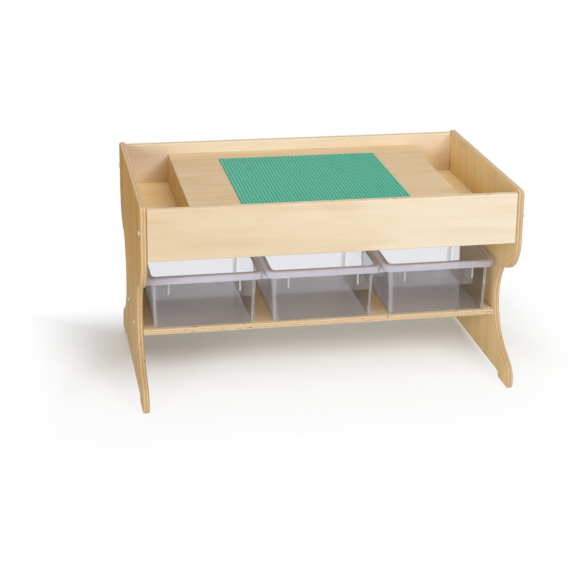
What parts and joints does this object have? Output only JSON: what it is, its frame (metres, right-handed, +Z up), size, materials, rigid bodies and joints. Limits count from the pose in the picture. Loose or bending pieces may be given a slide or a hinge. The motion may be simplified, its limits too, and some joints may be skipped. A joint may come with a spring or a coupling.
{
  "type": "kids table",
  "caption": "Low plywood play table with an open tray, a raised deck carrying a studded building plate, end bays, and a shelf of pull-out clear tubs.",
  "frame": {"origin": "on the floor under the middle of the table", "axes": "+X along the table's length, +Y from the front to the back, +Z up"},
  "size_m": [0.8912, 0.572, 0.498],
  "materials": {
    "birch_plywood": "clear satin lacquer",
    "softwood_strip": "planed, unfinished",
    "beech_dowel": "plain",
    "plated_steel": "zinc plated",
    "brass_insert": "plain",
    "green_plate": "moulded, satin gloss",
    "clear_tub": "clear moulded"
  },
  "bodies": {
    "table": {"left_side_panel": "birch_plywood", "right_side_panel": "birch_plywood", "front_apron": "birch_plywood", "back_apron": "birch_plywood", "tray_bottom": "birch_plywood", "left_divider": "birch_plywood", "right_divider": "birch_plywood", "deck_panel": "birch_plywood", "shelf": "birch_plywood", "front_bottom_cleat": "softwood_strip", "back_bottom_cleat": "softwood_strip", "left_bottom_cleat": "softwood_strip", "right_bottom_cleat": "softwood_strip", "deck_bearer": "softwood_strip", "front_deck_cleat": "softwood_strip", "back_deck_cleat": "softwood_strip", "apron_dowels": "beech_dowel", "shelf_dowels": "beech_dowel", "left_apron_bolts": "plated_steel", "right_apron_bolts": "plated_steel", "left_shelf_screws": "plated_steel", "right_shelf_screws": "plated_steel", "bottom_cleat_screws": "plated_steel", "deck_cleat_screws": "plated_steel", "deck_screws": "plated_steel", "divider_screws": "plated_steel", "apron_inserts": "brass_insert", "building_plate": "green_plate"},
    "left_tub": {"left_tub_shell": "clear_tub"},
    "middle_tub": {"middle_tub_shell": "clear_tub"},
    "right_tub": {"right_tub_shell": "clear_tub"}
  },
  "joints": [
    {"name": "left_tub_slide", "type": "slide", "parent": "table", "child": "left_tub", "axis": [0, -1, 0], "range_m": [0, 0.47]},
    {"name": "middle_tub_slide", "type": "slide", "parent": "table", "child": "middle_tub", "axis": [0, -1, 0], "range_m": [0, 0.47]},
    {"name": "right_tub_slide", "type": "slide", "parent": "table", "child": "right_tub", "axis": [0, -1, 0], "range_m": [0, 0.47]}
  ]
}
